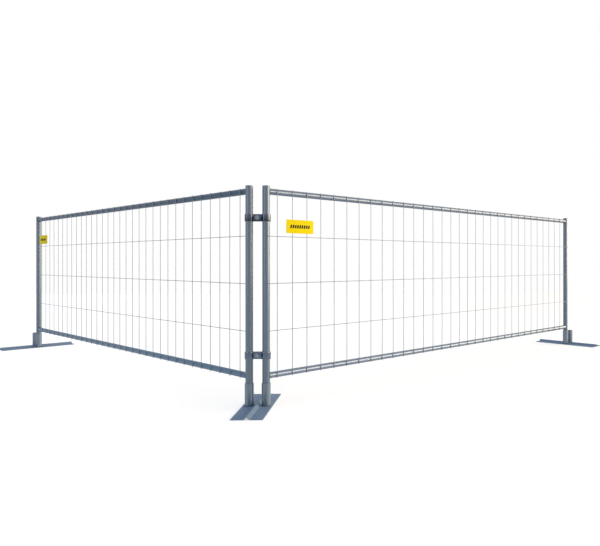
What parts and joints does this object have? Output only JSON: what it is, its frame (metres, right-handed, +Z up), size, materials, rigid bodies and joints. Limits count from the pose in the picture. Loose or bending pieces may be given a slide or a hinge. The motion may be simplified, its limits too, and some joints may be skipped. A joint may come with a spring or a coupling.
{
  "type": "temporary fence panel",
  "caption": "Low welded-mesh site fence panels in tube frames, joined at a corner by bolted clamp couplers and standing in ridged steel feet with post sleeves.",
  "frame": {"origin": "on the ground under the middle of the corner foot", "axes": "+Z up, +Y halves the corner away from its outside, +X towards the right panel seen from outside"},
  "size_m": [5.593, 3.0502, 1.222],
  "materials": {
    "posts": "galvanised, matt blue-grey",
    "rails": "galvanised, satin",
    "wires": "bright galvanised wire",
    "feet": "hot-dip galvanised, mottled",
    "couplers": "dark zinc, pressed",
    "bolts": "zinc plated",
    "sign": "yellow enamel"
  },
  "bodies": {
    "corner_stand": {"corner_foot_plate": "feet", "corner_right_sleeve": "feet", "corner_left_sleeve": "feet", "upper_rear_shell": "couplers", "upper_bolt": "bolts", "lower_rear_shell": "couplers", "lower_bolt": "bolts"},
    "right_panel": {"right_inner_post": "posts", "right_outer_post": "posts", "right_post_caps": "posts", "right_top_rail": "rails", "right_bottom_rail": "rails", "right_upright_wires": "wires", "right_cross_wires": "wires", "right_sign_plate": "sign", "right_sign_backing": "rails", "right_sign_rivets": "bolts"},
    "right_foot": {"right_foot_plate": "feet", "right_foot_post_sleeve": "feet", "right_foot_free_sleeve": "feet"},
    "left_panel": {"left_inner_post": "posts", "left_outer_post": "posts", "left_post_caps": "posts", "left_top_rail": "rails", "left_bottom_rail": "rails", "left_upright_wires": "wires", "left_cross_wires": "wires", "left_sign_plate": "sign", "left_sign_backing": "rails", "left_sign_rivets": "bolts"},
    "left_foot": {"left_foot_plate": "feet", "left_foot_post_sleeve": "feet", "left_foot_free_sleeve": "feet"},
    "upper_clamp": {"upper_front_shell": "couplers", "upper_washer": "bolts"},
    "upper_clamp_nut": {"upper_nut": "bolts"},
    "lower_clamp": {"lower_front_shell": "couplers", "lower_washer": "bolts"},
    "lower_clamp_nut": {"lower_nut": "bolts"}
  },
  "joints": [
    {"name": "right_panel_swing", "type": "hinge", "parent": "corner_stand", "child": "right_panel", "pos_m": [0.0463, 0, 0], "axis": [0, 0, 1], "range_deg": [-125, 35]},
    {"name": "right_foot_turn", "type": "hinge", "parent": "right_panel", "child": "right_foot", "pos_m": [2.49572, 2.44942, 0], "axis": [0, 0, 1], "continuous": true},
    {"name": "left_panel_swing", "type": "hinge", "parent": "corner_stand", "child": "left_panel", "pos_m": [-0.0463, 0, 0], "axis": [0, 0, -1], "range_deg": [-125, 35]},
    {"name": "left_foot_turn", "type": "hinge", "parent": "left_panel", "child": "left_foot", "pos_m": [-2.49572, 2.44942, 0], "axis": [0, 0, -1], "continuous": true},
    {"name": "upper_clamp_slide", "type": "slide", "parent": "corner_stand", "child": "upper_clamp", "axis": [0, -1, 0], "range_m": [0, 0.00525]},
    {"name": "upper_nut_turn", "type": "hinge", "parent": "upper_clamp", "child": "upper_clamp_nut", "pos_m": [0, 0, 1.044], "axis": [0, -1, 0], "range_deg": [0, 1080]},
    {"name": "lower_clamp_slide", "type": "slide", "parent": "corner_stand", "child": "lower_clamp", "axis": [0, -1, 0], "range_m": [0, 0.00525]},
    {"name": "lower_nut_turn", "type": "hinge", "parent": "lower_clamp", "child": "lower_clamp_nut", "pos_m": [0, 0, 0.283], "axis": [0, -1, 0], "range_deg": [0, 1080]}
  ],
  "couplings": [
    {"joint": "upper_nut_turn", "follows": "upper_clamp_slide", "rad_per_m": 3590.4},
    {"joint": "lower_nut_turn", "follows": "lower_clamp_slide", "rad_per_m": 3590.4}
  ]
}
